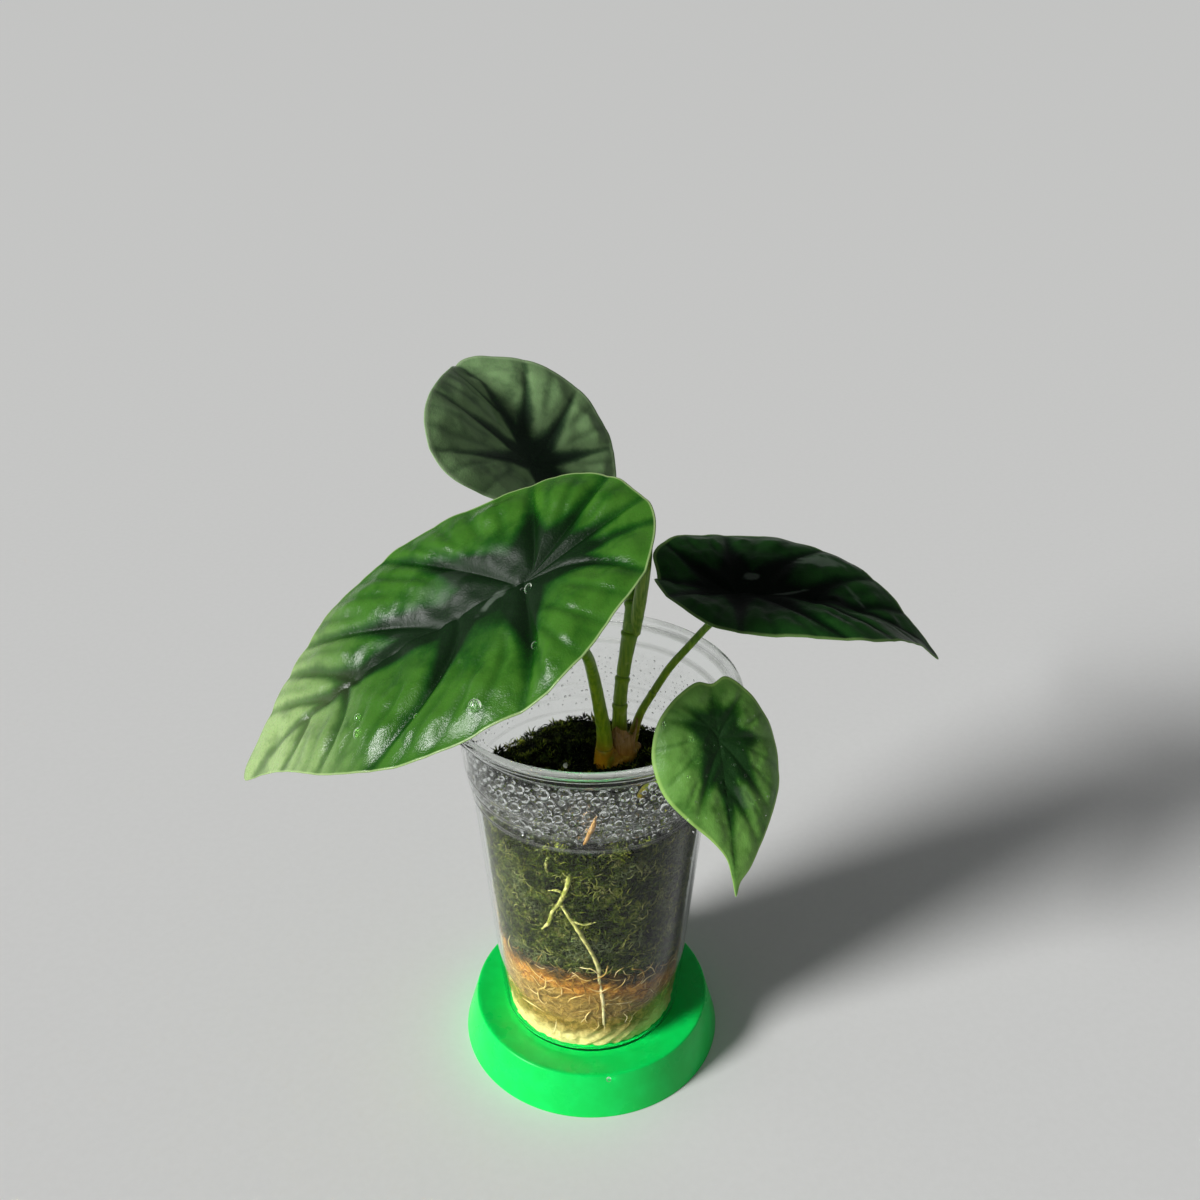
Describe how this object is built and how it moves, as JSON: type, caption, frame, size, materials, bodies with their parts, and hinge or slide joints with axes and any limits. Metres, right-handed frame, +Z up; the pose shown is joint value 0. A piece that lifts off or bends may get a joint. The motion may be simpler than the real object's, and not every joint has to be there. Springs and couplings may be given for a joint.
{
  "type": "potted alocasia sinuata",
  "caption": "Small potted jewel alocasia with quilted shield-shaped leaves, growing in moss in a clear ribbed cup that stands on an upturned round green saucer.",
  "frame": {"origin": "bottom centre of the whole plant's box, on the surface that the upturned saucer stands on; the cup's axis is 2.1 mm to -X and 2.6 mm to -Y of it", "axes": "+Z up along the cup's axis; the plant is seen from the -Y side in the picture, with +X to the right"},
  "size_m": [0.2137, 0.1434, 0.2274],
  "materials": {
    "green_plastic": "smooth injection-moulded plastic, bright green",
    "clear_plastic": "thin clear formed plastic, wet inside",
    "dark_moss": "damp living moss and fibres",
    "pale_moss": "damp dead sphagnum moss, tan",
    "root": "fleshy pale yellow-green root",
    "crown": "fleshy ochre base of the stalks",
    "dry_sheath": "dry papery sheath",
    "stalk": "smooth fleshy stalk",
    "leaf_deep": "glossy thick leaf, deep green, quilted",
    "leaf_dull": "satin leaf, grey-green, quilted",
    "leaf_dark": "glossy leaf, very dark green",
    "leaf_light": "satin young leaf, mid green"
  },
  "bodies": {
    "root": {"saucer": "green_plastic", "cup": "clear_plastic", "moss": "dark_moss", "base_moss": "pale_moss", "roots": "root", "crown": "crown", "dried_sheath": "dry_sheath", "stalk_front": "stalk", "stalk_back": "stalk", "stalk_right": "stalk", "stalk_small": "stalk", "new_leaf": "stalk", "blade_front": "leaf_deep", "blade_back": "leaf_dull", "blade_right": "leaf_dark", "blade_small": "leaf_light"}
  },
  "joints": []
}
